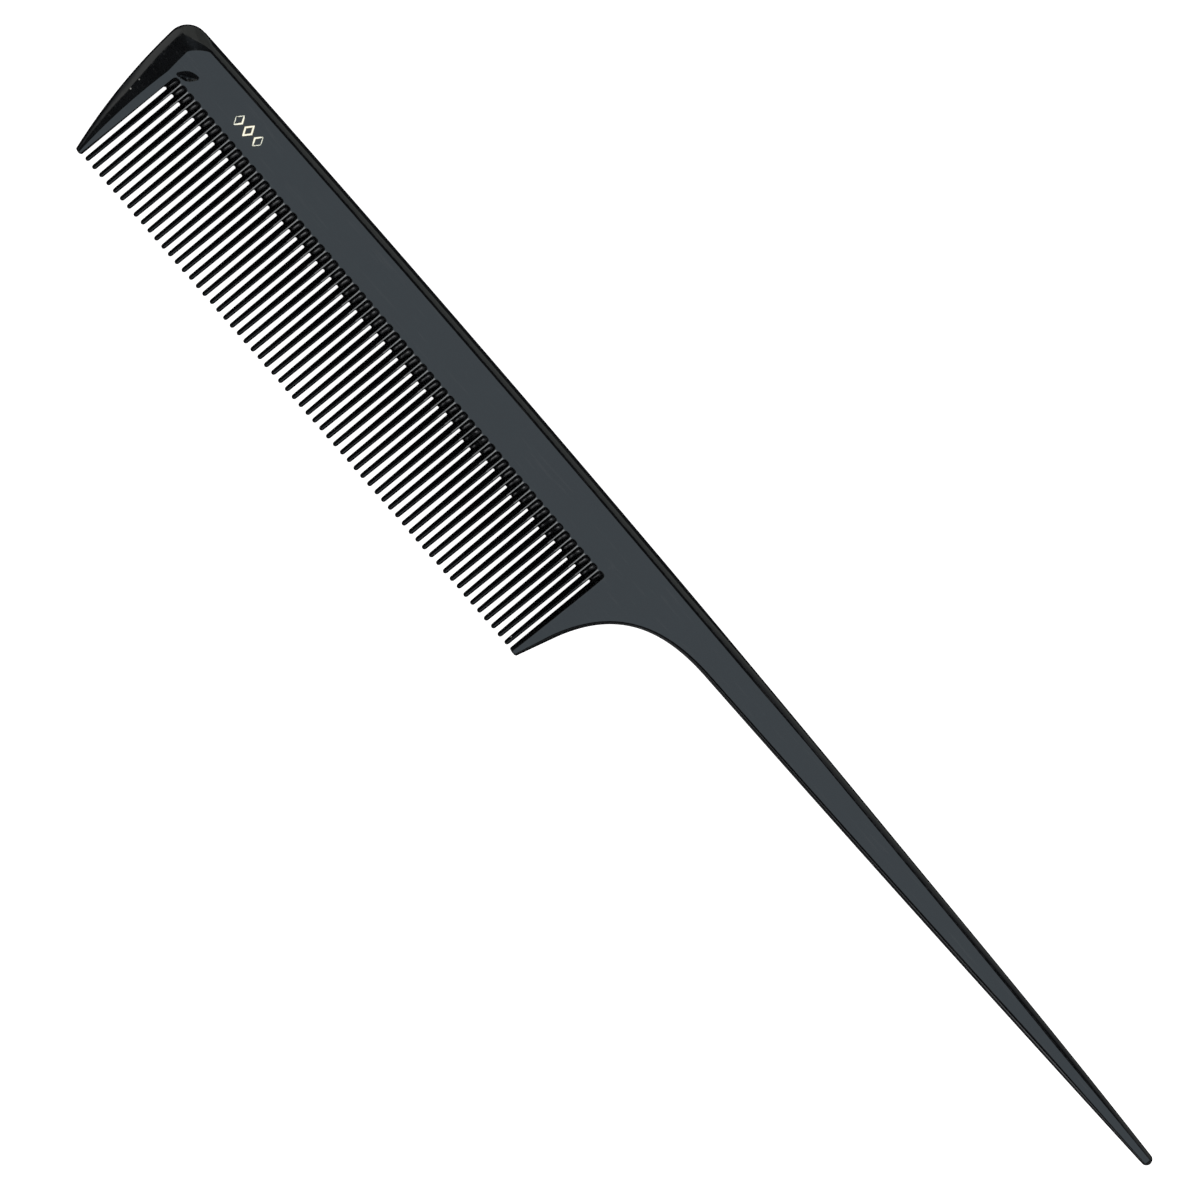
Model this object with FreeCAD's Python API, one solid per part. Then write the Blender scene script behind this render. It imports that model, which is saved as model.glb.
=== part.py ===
import FreeCAD, Part
import math
import os

# Rat tail comb lying flat: a flat head with 62 fine teeth between two end guards, a swept
# neck and a long tail that tapers to a blunt point.  The comb is mirror-symmetric about
# its middle plane, apart from three open foil lozenges stamped into the upper face.
# Frame: +X along the comb to the tail's point, +Y from the tooth points to the back,
# +Z through the thickness, origin at the centre of the underside of the bounding box.
# Millimetres.

# ---- driving dimensions -------------------------------------------------------------
LENGTH = 216.1
WIDTH = 25.3
HEAD_THICKNESS = 4.4

BACK_RADIUS = 3800.0        # the back is one long shallow arch
BACK_CREST_X = -54.0
TAIL_FULLNESS = 0.19        # how far the tail's back stands over that arch near its end
TAIL_FULLNESS_X = (45.0, 90.0)  # where that starts and where it is greatest
FRONT_CORNER_RADIUS = 3.2
FRONT_EDGE_RADIUS = 88.9    # outer edge of the front guard
FRONT_EDGE_LEAN = 4.0       # degrees off upright where that edge leaves the corner
FRONT_TIP_X_INSET = 0.3     # the guard's tip starts this far in from its outer edge
FRONT_GUARD_SECTIONS = (-10.0, -7.0, -4.0, -1.0, 2.0, 5.0)
CORNER_STEPS = 10           # sections round the corner, then along the back
CORNER_RUN_STEPS = 3
CORNER_SEAM_POWER = 1.6

TEETH = 62
PITCH = 1.5105
FIRST_TOOTH_X = -101.62
TOOTH_ROOT_Y = 1.8          # plane where the free teeth leave the blade
TOOTH_TIP_Y = -WIDTH / 2
TOOTH_HALF_ROOT = (0.487, 0.577)    # half width on the middle plane: front tooth, rear tooth
TOOTH_HALF_TIP = (0.373, 0.387)
LAND_HALF_ROOT = 0.12       # half width of the narrow flat on top of a tooth
LAND_HALF_TIP = 0.05
TIP_HALF_THICKNESS = 0.62
TAPER_START_Y = 3.0
TAPER_POWER = 1.35
TOOTH_SECTIONS = (-1.0, -4.0, -7.0, -10.0)
TOOTH_RIM_SHARE = 0.1       # upright flat on a tooth's flank, as a share of the half thickness
TOOTH_POINT = ((0.35, 1.0), (0.12, 0.75), (0.0, 0.3))  # distance from the point, share of the size

GULLET_MID_Y = 2.9          # where the slot ends on the middle plane
GULLET_FACE_Y = 5.35        # where the slot's sloping end reaches the faces
CUTTER_OVER = 0.1           # how far a cutter runs past the faces

RIM_SHARE = 0.2             # upright flat at the outline, as a share of the half thickness
BEVEL_SLOPE = 0.42          # fall of the shallow bevel round the flat faces
BACK_STRIP = (0.70, 1.09)   # flank width, then flank and bevel together
TAIL_STRIP = (0.55, 0.92)
HEEL_STRIP = (0.60, 0.90)
GUARD_STRIP = (1.00, 3.45)
GUARD_TIP_STRIP = (0.28, 0.60)
GUARD_STRIP_TOP_Y = 5.0
GUARD_FLANK_GAIN = 1.6      # the flank reaches its full width this much sooner than the bevel
GUARD_TIP_HALF_THICKNESS = 0.85
GUARD_TIP_ROUND = 0.3
GUARD_TIP_ENDS = (-0.6, 0.6)    # where a tip ends beside its slot, front and rear
GUARD_TIP_SHARES = (0.0, 0.3, 0.6, 1.0)
GUARD_TIP_HEIGHTS = (0.2, 0.4, 0.5, 0.5)

HEEL_TIP_X = -7.10          # outer lower corner of the rear guard
HEEL_TIP_X_INSET = 0.25
HEEL_BEND = (-5.6, -6.8)
REAR_GUARD_SHARES = (0.05, 0.4, 0.7, 1.0)
REAR_GUARD_TIP_STRIP = 0.6  # the strip's width at the tip, as a share of its full width
REAR_GUARD_STRIP_GROWTH = 6.0   # distance over which it grows to its full width
HEEL_HANDLE = 9.6
NECK_HANDLE = 9.8
NECK_END = (12.5, 6.02)
NECK_END_SLOPE = 0.0068
TAIL_LOWER_CURVE = 1.04e-4  # the tail's lower edge rises as the square of the distance
TAIL_THICKNESS_X = (-4.0, 20.0)
TAIL_HALF_THICKNESS = 1.45
TAIL_HALF_FALL = 0.0076
TAIL_STEPS = 8
TAIL_STRIP_SHARES = (0.42, 0.70)    # the strip's widths never pass these shares of the half width
TAIL_STRIP_RUN = 20.0       # distance over which the back strip becomes the tail's
TIP_PIECE_X = 96.0
TIP_STEPS = 3
TIP_END_STEPS = 5
TIP_END_SHARE = 0.1
# Where sections are taken along the curve from the rear guard to the tail, from 0 to 1.
GUARD_STEPS = (0.1, 0.2, 0.3)
HEEL_STEPS = (0.3, 0.35, 0.4, 0.45, 0.5, 0.55)
NECK_STEPS = (0.55, 0.62, 0.70, 0.78, 0.86, 0.93, 1.0)
TIP_ROUND = 0.8

FOIL_CENTRE = (-90.3, 8.1)
FOIL_COUNT = 3
FOIL_PITCH = 2.05
FOIL_SIZE = (1.7, 2.6)
FOIL_STROKE = 0.32
FOIL_THICKNESS = 0.04       # pressed into the face until it's flush

# ---- sizes that follow --------------------------------------------------------------
MID = HEAD_THICKNESS / 2
TOP_Y = WIDTH / 2
FRONT_X = -LENGTH / 2
TAIL_END_X = LENGTH / 2
FIRST_SLOT_X = FIRST_TOOTH_X - PITCH / 2
LAST_SLOT_X = FIRST_SLOT_X + TEETH * PITCH
MOUTH_HALF = PITCH / 2 - LAND_HALF_ROOT     # half the slot's width at the faces
BACK_STEPS = 9
SEAM_SHRUNK = 0.01          # width left of the flat part where its last section ends


def mix(a, b, f):
    return a + (b - a) * f


def ease(f):
    """Smooth step with no slope at either end."""
    f = max(0.0, min(1.0, f))
    return f * f * f * (f * (6 * f - 15) + 10)


def steps(a, b, count):
    """count + 1 even values from a to b."""
    return [mix(a, b, i / count) for i in range(count + 1)]


def back_y(x):
    """The back's outline."""
    start, most = TAIL_FULLNESS_X
    turn = max(0.0, (x - start) / (most - start)) * math.pi / 2
    fullness = TAIL_FULLNESS * math.sin(turn) ** 2
    return TOP_Y - (x - BACK_CREST_X) ** 2 / (2 * BACK_RADIUS) + fullness


def tail_lower_y(x):
    """The tail's lower outline."""
    run = x - NECK_END[0]
    return NECK_END[1] + NECK_END_SLOPE * run + TAIL_LOWER_CURVE * run * run


def half_thickness(x):
    """Half the thickness of the flat faces along the comb, away from the teeth."""
    start, end = TAIL_THICKNESS_X
    tail = TAIL_HALF_THICKNESS - TAIL_HALF_FALL * (x - end)
    return mix(tail, MID, ease((end - x) / (end - start)))


def toothward(y, tip):
    """Half the thickness of a tooth or guard, thinning from the blade to its tip."""
    f = max(0.0, (TAPER_START_Y - y) / (TAPER_START_Y - TOOTH_TIP_Y))
    return mix(MID, tip, f ** TAPER_POWER)


def section(upper):
    """Closed wire from the upper half of a section: points (x, y, height over the middle)."""
    top = [FreeCAD.Vector(x, y, MID + h) for x, y, h in upper]
    bottom = [FreeCAD.Vector(x, y, MID - h) for x, y, h in reversed(upper)]
    return Part.makePolygon(top + bottom + top[:1])


def loft(sections):
    return Part.makeLoft([section(s) for s in sections], True, True)


def strip(start, inward, along, widths, height):
    """Upper half of an edge: upright flat, steep flank, then a shallow bevel to the face.

    start is on the outline, inward its unit normal, along the unit direction in which the
    section is cut, widths the flank's and the whole strip's width square to the outline.
    """
    flank, whole = widths
    lean = inward[0] * along[0] + inward[1] * along[1]
    heights = (RIM_SHARE * height, height - BEVEL_SLOPE * (whole - flank), height)
    return [
        (start[0] + along[0] * w / lean, start[1] + along[1] * w / lean, h)
        for w, h in zip((0.0, flank, whole), heights)
    ]


def unit(dx, dy):
    size = math.hypot(dx, dy)
    return dx / size, dy / size


def rung(a, inward, b, widths, height_a, height_b):
    """Section from the outline at a straight across the flat face to the seam at b."""
    along = unit(b[0] - a[0], b[1] - a[1])
    return strip(a, inward, along, widths, height_a) + [(b[0], b[1], height_b)]


# ---- slots ---------------------------------------------------------------------------
def slot_cutter(slot, low_y):
    """What one slot removes: wider at the faces than inside, its end sloping both ways."""
    x = FIRST_SLOT_X + slot * PITCH
    gap_half = PITCH / 2 - mix(*TOOTH_HALF_ROOT, slot / TEETH)
    reach = (MID + CUTTER_OVER) / MID
    top_z = HEAD_THICKNESS + CUTTER_OVER

    def frame(half, end_y, z):
        corners = [(x - half, low_y), (x + half, low_y), (x + half, end_y), (x - half, end_y)]
        points = [FreeCAD.Vector(px, py, z) for px, py in corners]
        return Part.makePolygon(points + points[:1])

    half = mix(gap_half, MOUTH_HALF, reach)
    end_y = mix(GULLET_MID_Y, GULLET_FACE_Y, reach)
    middle = frame(gap_half, GULLET_MID_Y, MID)
    upper = Part.makeLoft([middle, frame(half, end_y, top_z)], True, True)
    lower = Part.makeLoft([frame(half, end_y, -CUTTER_OVER), middle], True, True)
    return upper.fuse(lower)


# ---- pieces --------------------------------------------------------------------------
def back_bead():
    """The strip along the back, from the first slot to the tail."""
    flank, whole = BACK_STRIP
    sections = []
    for x in bead_stations():
        y = back_y(x)
        sections.append(strip((x, y), (0, -1), (0, -1), (flank, whole), half_thickness(x)))
    return loft(sections)


def neck_stations():
    """Places along the bead that the neck's sections run to."""
    first = NECK_STEPS[0]
    return [mix(LAST_SLOT_X, NECK_END[0], (t - first) / (1.0 - first)) for t in NECK_STEPS]


def bead_stations():
    return steps(FIRST_SLOT_X, LAST_SLOT_X, BACK_STEPS) + neck_stations()[1:]


def seam_y(x):
    """Where the bead meets the flat part of the head."""
    return back_y(x) - BACK_STRIP[1]


def blade_web():
    """The flat blade behind the teeth, notched by the slots' ends."""
    top = [FreeCAD.Vector(x, seam_y(x), 0) for x in steps(LAST_SLOT_X, FIRST_SLOT_X, BACK_STEPS)]
    bottom = [FreeCAD.Vector(x, TOOTH_ROOT_Y, 0) for x in (FIRST_SLOT_X, LAST_SLOT_X)]
    outline = Part.makePolygon(top + bottom + top[:1])
    plate = Part.Face(outline).extrude(FreeCAD.Vector(0, 0, HEAD_THICKNESS))
    slots = [slot_cutter(i, TOOTH_ROOT_Y - 1) for i in range(TEETH + 1)]
    pockets = [foil_lozenge(i) for i in range(FOIL_COUNT)]
    return plate.cut(Part.makeCompound(slots)).cut(Part.makeCompound(pockets))


def front_end_guard():
    """Front end of the head: guard tooth, wide bevelled rim and the rounded corner."""
    corner = (FRONT_X + FRONT_CORNER_RADIUS, back_y(FRONT_X) - FRONT_CORNER_RADIUS)
    lean = math.radians(FRONT_EDGE_LEAN)
    edge_top_y = corner[1] - FRONT_CORNER_RADIUS * math.sin(lean)
    centre_x = corner[0] + (FRONT_EDGE_RADIUS - FRONT_CORNER_RADIUS) * math.cos(lean)
    centre_y = corner[1] + (FRONT_EDGE_RADIUS - FRONT_CORNER_RADIUS) * math.sin(lean)

    def edge(y):
        rise = y - centre_y
        x = centre_x - math.sqrt(FRONT_EDGE_RADIUS ** 2 - rise ** 2)
        return (x, y), unit(centre_x - x, centre_y - y)

    round_y = TOOTH_TIP_Y + GUARD_TIP_ROUND
    tip_x = edge(round_y)[0][0] + FRONT_TIP_X_INSET
    sections = [tip_section(tip_x, FIRST_SLOT_X + GUARD_TIP_ENDS[0])]
    for y in (round_y,) + FRONT_GUARD_SECTIONS + (edge_top_y,):
        a, inward = edge(y)
        f = min(1.0, (y - TOOTH_TIP_Y) / (GUARD_STRIP_TOP_Y - TOOTH_TIP_Y))
        widths = (mix(GUARD_TIP_STRIP[0], GUARD_STRIP[0], min(1.0, f * GUARD_FLANK_GAIN)),
                  mix(GUARD_TIP_STRIP[1], GUARD_STRIP[1], f))
        height = toothward(y, GUARD_TIP_HALF_THICKNESS)
        sections.append(rung(a, inward, (FIRST_SLOT_X, y), widths, height, height))

    turn = math.pi / 2 + lean
    arc = FRONT_CORNER_RADIUS * turn
    straight = FIRST_SLOT_X - corner[0]
    seam_top = seam_y(FIRST_SLOT_X)
    outline = []
    for f in steps(0.0, 1.0, CORNER_STEPS)[1:]:
        angle = math.pi + lean - turn * f
        inward = (-math.cos(angle), -math.sin(angle))
        a = tuple(c - FRONT_CORNER_RADIUS * i for c, i in zip(corner, inward))
        outline.append((a, inward, arc * f))
    for f in steps(0.0, 1.0, CORNER_RUN_STEPS)[1:]:
        x = corner[0] + straight * f
        outline.append(((x, back_y(x)), (0.0, -1.0), arc + straight * f))
    for a, inward, run in outline:
        f = run / (arc + straight)
        b = (FIRST_SLOT_X, mix(edge_top_y, seam_top, f ** CORNER_SEAM_POWER))
        ease_out = ease((f - 0.3) / 0.7)
        widths = tuple(mix(g, s, ease_out) for g, s in zip(GUARD_STRIP, BACK_STRIP))
        sections.append(rung(a, inward, b, widths, MID, MID))
    body = loft(sections[:-1] + [seam_end(sections[-1])])
    return body.cut(slot_cutter(0, TOOTH_TIP_Y - 1))


def seam_end(upper):
    """The last section, where the flat part has shrunk to nothing."""
    x, y, h = upper[-1]
    return upper[:-2] + [(x, y + SEAM_SHRUNK, h), (x, y, h)]


def tip_section(x0, x1):
    """Small blunt end of a guard."""
    xs = [mix(x0, x1, f) for f in GUARD_TIP_SHARES]
    return [(x, TOOTH_TIP_Y, h) for x, h in zip(xs, GUARD_TIP_HEIGHTS)]


def bezier(t):
    """Point and tangent of the curve from the rear guard's edge round to the tail."""
    start_dir = unit(HEEL_BEND[0] - HEEL_TIP_X, HEEL_BEND[1] - TOOTH_TIP_Y)
    end_dir = unit(1.0, NECK_END_SLOPE)
    p0 = HEEL_BEND
    p1 = tuple(p + HEEL_HANDLE * d for p, d in zip(p0, start_dir))
    p3 = NECK_END
    p2 = tuple(p - NECK_HANDLE * d for p, d in zip(p3, end_dir))
    s = 1 - t
    point = tuple(s ** 3 * a + 3 * s * s * t * b + 3 * s * t * t * c + t ** 3 * d
                  for a, b, c, d in zip(p0, p1, p2, p3))
    slope = tuple(s * s * (b - a) + 2 * s * t * (c - b) + t * t * (d - c)
                  for a, b, c, d in zip(p0, p1, p2, p3))
    return point, unit(*slope)


def heel_outline(t):
    point, tangent = bezier(t)
    return point, (-tangent[1], tangent[0])


def rear_end_guard():
    """Guard tooth at the tail's end of the teeth."""
    tangent = unit(HEEL_BEND[0] - HEEL_TIP_X, HEEL_BEND[1] - TOOTH_TIP_Y)
    inward = (-tangent[1], tangent[0])
    sections = [tip_section(HEEL_TIP_X - HEEL_TIP_X_INSET, LAST_SLOT_X + GUARD_TIP_ENDS[1])]
    for f in REAR_GUARD_SHARES:
        a = (mix(HEEL_TIP_X, HEEL_BEND[0], f), mix(TOOTH_TIP_Y, HEEL_BEND[1], f))
        sections.append(guard_rung(a, inward))
    for t in GUARD_STEPS:
        sections.append(guard_rung(*heel_outline(t)))
    return loft(sections).cut(slot_cutter(TEETH, TOOTH_TIP_Y - 1))


def guard_rung(a, inward):
    y = a[1]
    grow = min(1.0, (y - TOOTH_TIP_Y) / REAR_GUARD_STRIP_GROWTH)
    widths = tuple(mix(REAR_GUARD_TIP_STRIP * w, w, grow) for w in HEEL_STRIP)
    height = toothward(y, GUARD_TIP_HALF_THICKNESS)
    return rung(a, inward, (LAST_SLOT_X, y), widths, height, height)


def heel():
    """The flat corner of the head between the last slot, the back and the neck."""
    first, last = HEEL_STEPS[0], HEEL_STEPS[-1]
    start_y = bezier(first)[0][1]
    sections = []
    for t in HEEL_STEPS:
        a, inward = heel_outline(t)
        f = (t - first) / (last - first)
        b = (LAST_SLOT_X, mix(start_y, seam_y(LAST_SLOT_X), f))
        low = toothward(a[1], GUARD_TIP_HALF_THICKNESS)
        height_b = toothward(b[1], GUARD_TIP_HALF_THICKNESS)
        sections.append(rung(a, inward, b, HEEL_STRIP, min(low, half_thickness(a[0])), height_b))
    return loft(sections).cut(slot_cutter(TEETH, TOOTH_TIP_Y - 1))


def neck():
    """From the heel to the tail, under the bead."""
    first = NECK_STEPS[0]
    sections = []
    for t, x in zip(NECK_STEPS, neck_stations()):
        a, inward = heel_outline(t)
        f = (t - first) / (1.0 - first)
        widths = tuple(mix(h, w, f) for h, w in zip(HEEL_STRIP, TAIL_STRIP))
        heights = half_thickness(a[0]), half_thickness(x)
        sections.append(rung(a, inward, (x, seam_y(x)), widths, *heights))
    return loft(sections)


def tail_section(x, share=1.0):
    """Upper half of the tail's section, scaled about its middle near the tip."""
    low, high = tail_lower_y(x), back_y(x)
    middle, half = (low + high) / 2, (high - low) / 2 * share
    height = half_thickness(x) * share
    near = ease((x - NECK_END[0]) / TAIL_STRIP_RUN)
    lower = tuple(min(w, s * half) for w, s in zip(TAIL_STRIP, TAIL_STRIP_SHARES))
    back = tuple(mix(b, w, near) for b, w in zip(BACK_STRIP, lower))
    up = strip((x, middle - half), (0, 1), (0, 1), lower, height)
    down = strip((x, middle + half), (0, -1), (0, -1), back, height)
    return up + down[::-1]


def tail_shaft():
    return loft([tail_section(x) for x in steps(NECK_END[0], TIP_PIECE_X, TAIL_STEPS)])


def tail_tip():
    """Last stretch of the tail, ending in a rounded point."""
    round_x = TAIL_END_X - TIP_ROUND
    sections = [tail_section(x) for x in steps(TIP_PIECE_X, round_x, TIP_STEPS)[:-1]]
    for angle in steps(0.0, math.pi / 2, TIP_END_STEPS)[:-1]:
        sections.append(tail_section(round_x + TIP_ROUND * math.sin(angle), math.cos(angle)))
    return loft(sections + [tail_section(TAIL_END_X, TIP_END_SHARE)])


def tooth(number):
    """One fine tooth, from the blade to its rounded point."""
    x = FIRST_TOOTH_X + (number - 1) * PITCH
    along = (number - 1) / (TEETH - 1)
    half_root = mix(*TOOTH_HALF_ROOT, along)
    half_tip = mix(*TOOTH_HALF_TIP, along)

    def cut(y, share):
        f = (TOOTH_ROOT_Y - y) / (TOOTH_ROOT_Y - TOOTH_TIP_Y)
        half = mix(half_root, half_tip, f) * share
        land = mix(LAND_HALF_ROOT, LAND_HALF_TIP, f) * share
        height = toothward(y, TIP_HALF_THICKNESS) * share
        rim = TOOTH_RIM_SHARE * height
        return [(x - half, y, rim), (x - land, y, height), (x + land, y, height), (x + half, y, rim)]

    body = [cut(y, 1.0) for y in (TOOTH_ROOT_Y,) + TOOTH_SECTIONS]
    return loft(body + [cut(TOOTH_TIP_Y + up, share) for up, share in TOOTH_POINT])


def foil_lozenge(index):
    """One open lozenge of foil, stamped into the upper face until it's flush."""
    x = FOIL_CENTRE[0] + (index - (FOIL_COUNT - 1) / 2) * FOIL_PITCH
    half_x, half_y = FOIL_SIZE[0] / 2, FOIL_SIZE[1] / 2
    edge_distance = half_x * half_y / math.hypot(half_x, half_y)

    def face(share):
        offsets = [(-half_x, 0), (0, -half_y), (half_x, 0), (0, half_y)]
        points = [FreeCAD.Vector(x + dx * share, FOIL_CENTRE[1] + dy * share, HEAD_THICKNESS)
                  for dx, dy in offsets]
        return Part.Face(Part.makePolygon(points + points[:1]))

    ring = face(1.0).cut(face(1.0 - FOIL_STROKE / edge_distance))
    return ring.extrude(FreeCAD.Vector(0, 0, -FOIL_THICKNESS)).Solids[0]


def write(name, shape):
    if not shape.isValid():
        raise ValueError(name + " isn't a valid solid")
    shape.exportStep("parts/" + name + ".step")
    box = shape.optimalBoundingBox()
    print("%-18s solids %d volume %9.3f  x %8.2f %8.2f  y %7.2f %7.2f  z %6.2f %6.2f" % (
        name, len(shape.Solids), shape.Volume,
        box.XMin, box.XMax, box.YMin, box.YMax, box.ZMin, box.ZMax))


os.makedirs("parts", exist_ok=True)
write("blade_web", blade_web())
write("back_bead", back_bead())
write("front_end_guard", front_end_guard())
write("rear_end_guard", rear_end_guard())
write("heel", heel())
write("neck", neck())
write("tail_shaft", tail_shaft())
write("tail_tip", tail_tip())
for first in range(1, TEETH + 1, 2):
    pair = Part.makeCompound([tooth(first), tooth(first + 1)])
    write("teeth_%02d_%02d" % (first, first + 1), pair)
for index in range(FOIL_COUNT):
    write("foil_lozenge_%d" % (index + 1), foil_lozenge(index))
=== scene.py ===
import bmesh
import bpy
import math
import random
from mathutils import Matrix, Vector


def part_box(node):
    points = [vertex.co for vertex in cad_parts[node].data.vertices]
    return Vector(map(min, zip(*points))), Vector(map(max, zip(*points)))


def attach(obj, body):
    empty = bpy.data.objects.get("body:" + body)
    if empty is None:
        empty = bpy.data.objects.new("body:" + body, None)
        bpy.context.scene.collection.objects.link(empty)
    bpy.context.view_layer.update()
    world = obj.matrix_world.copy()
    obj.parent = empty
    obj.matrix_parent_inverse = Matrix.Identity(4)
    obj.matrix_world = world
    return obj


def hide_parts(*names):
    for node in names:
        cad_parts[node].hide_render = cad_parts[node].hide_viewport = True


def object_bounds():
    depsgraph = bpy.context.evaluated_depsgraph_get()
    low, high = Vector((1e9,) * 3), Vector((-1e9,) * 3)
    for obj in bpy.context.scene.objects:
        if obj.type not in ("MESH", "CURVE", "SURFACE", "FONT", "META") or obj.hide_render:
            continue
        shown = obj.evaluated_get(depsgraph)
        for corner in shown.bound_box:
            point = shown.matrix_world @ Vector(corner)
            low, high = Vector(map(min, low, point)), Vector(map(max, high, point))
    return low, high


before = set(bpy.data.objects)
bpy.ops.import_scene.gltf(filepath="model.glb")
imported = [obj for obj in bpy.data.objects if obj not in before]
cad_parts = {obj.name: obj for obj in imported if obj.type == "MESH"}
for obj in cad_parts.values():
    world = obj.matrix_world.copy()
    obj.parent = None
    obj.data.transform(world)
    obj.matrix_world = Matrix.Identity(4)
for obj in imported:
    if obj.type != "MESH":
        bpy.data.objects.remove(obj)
cad_low, cad_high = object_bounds()
random.seed(101)

# Lengths are in millimetres, in the CAD frame, and become metres when a mesh is made.
MM = 0.001

# ---- the comb's dimensions ------------------------------------------------------------
LENGTH = (cad_high.x - cad_low.x) / MM
WIDTH = (cad_high.y - cad_low.y) / MM
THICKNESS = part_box("blade_web")[1].z / MM
MID = THICKNESS / 2
TOP_Y = WIDTH / 2
TIP_Y = -WIDTH / 2
FRONT_X = -LENGTH / 2
TAIL_END_X = LENGTH / 2

BACK_RADIUS = 3800.0
BACK_CREST_X = -54.0
TAIL_FULLNESS = 0.19                # how far the tail's back swells past the arch
TAIL_FULLNESS_X = (45.0, 90.0)      # where that starts, and where it is most
FRONT_CORNER_RADIUS = 3.2
FRONT_EDGE_RADIUS = 88.9
FRONT_EDGE_LEAN = math.radians(4.0)

TEETH = 62
PITCH = 1.5105
HALF_PITCH = PITCH / 2
FIRST_SLOT_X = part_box("blade_web")[0].x / MM
LAST_SLOT_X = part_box("blade_web")[1].x / MM
ROOT_Y = 1.8
TOOTH_HALF_ROOT = (0.487, 0.577)
TOOTH_HALF_TIP = (0.373, 0.387)
LAND_TOP = 0.09
LAND_ROOT = 0.062
LAND_TIP = 0.04
LAND_TAPER = 4.0
TIP_HALF_THICKNESS = 0.62
TAPER_START_Y = 3.0
TAPER_POWER = 1.35
GULLET_MID_Y = 2.9      # where a slot ends on the middle plane and on the face
GULLET_FACE_Y = 5.35

# Edge strips are (flank, whole strip) as seen from above; the rest is the bevel by the face.
BEVEL_SLOPE = 0.42
BACK_STRIP = (0.70, 1.09)
TAIL_STRIP = (0.55, 0.92)
HEEL_STRIP = (0.60, 0.90)
GUARD_STRIP = (1.00, 3.45)
GUARD_TIP_STRIP = (0.28, 0.60)
GUARD_STRIP_TOP_Y = 5.0
GUARD_FLANK_GAIN = 1.6
GUARD_TIP_HALF_THICKNESS = 0.85
GUARD_CUT = 0.3         # a guard's last full section is this far above its tip

HEEL_TIP_X = -7.10
HEEL_BEND = (-5.6, -6.8)
HEEL_HANDLE = 9.6
NECK_HANDLE = 9.8
NECK_END = (12.5, 6.02)
NECK_END_SLOPE = 0.0068
TAIL_LOWER_CURVE = 1.04e-4
TAIL_THICKNESS_X = (-4.0, 20.0)
TAIL_HALF_THICKNESS = 1.45
TAIL_HALF_FALL = 0.0076
TIP_PIECE_X = 96.0
TIP_ROUND = 0.8
TIP_FLAT_SHARE = 0.06   # share of the tail's section that the tip ends with
# Where the rear guard and the heel end on the heel's curve, and the neck begins.
GUARD_END_T = 0.3
HEEL_END_T = 0.55


def mix(a, b, f):
    return a + (b - a) * f


def clamp(f):
    return max(0.0, min(1.0, f))


def ease(f):
    f = clamp(f)
    return f * f * f * (f * (6 * f - 15) + 10)


def steps(a, b, count):
    return [mix(a, b, i / count) for i in range(count + 1)]


def unit(dx, dy):
    size = math.hypot(dx, dy)
    return dx / size, dy / size


def back_y(x):
    start, most = TAIL_FULLNESS_X
    turn = max(0.0, (x - start) / (most - start)) * math.pi / 2
    fullness = TAIL_FULLNESS * math.sin(turn) ** 2
    return TOP_Y - (x - BACK_CREST_X) ** 2 / (2 * BACK_RADIUS) + fullness


def seam_y(x):
    return back_y(x) - BACK_STRIP[1]


def tail_lower_y(x):
    run = x - NECK_END[0]
    return NECK_END[1] + NECK_END_SLOPE * run + TAIL_LOWER_CURVE * run * run


def half_thickness(x):
    start, end = TAIL_THICKNESS_X
    tail = TAIL_HALF_THICKNESS - TAIL_HALF_FALL * (x - end)
    return mix(tail, MID, ease((end - x) / (end - start)))


def toothward(y, tip):
    """Height of the face over the middle plane, falling to tip at the teeth's points."""
    f = max(0.0, (TAPER_START_Y - y) / (TAPER_START_Y - TIP_Y))
    return mix(MID, tip, f ** TAPER_POWER)


def cubic(points, t):
    """Point on the cubic Bezier curve of four control points."""
    s = 1 - t
    return tuple(s ** 3 * a + 3 * s * s * t * b + 3 * s * t * t * c + t ** 3 * d
                 for a, b, c, d in zip(*points))


def heel_curve(t):
    """Outline from the rear guard round to the tail: point and inward normal."""
    start = unit(HEEL_BEND[0] - HEEL_TIP_X, HEEL_BEND[1] - TIP_Y)
    end = unit(1.0, NECK_END_SLOPE)
    p0, p3 = HEEL_BEND, NECK_END
    p1 = tuple(p + HEEL_HANDLE * d for p, d in zip(p0, start))
    p2 = tuple(p - NECK_HANDLE * d for p, d in zip(p3, end))
    s = 1 - t
    slope = unit(*(s * s * (b - a) + 2 * s * t * (c - b) + t * t * (d - c)
                   for a, b, c, d in zip(p0, p1, p2, p3)))
    return cubic((p0, p1, p2, p3), t), (-slope[1], slope[0])


# ---- camera ----------------------------------------------------------------------------
CAMERA_AZIMUTH = math.radians(139.06)
CAMERA_ELEVATION = math.radians(77.5)
CAMERA_ROLL = math.radians(179.3033)
CAMERA_DISTANCE = 7.5943
CAMERA_LENS = 1600.0
CAMERA_SENSOR = 36.0
CAMERA_CLIP = (0.1, 40.0)
CAMERA_AIM = Vector((-5.585, 1.7888, 0.0)) * MM     # from the comb's middle


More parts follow.
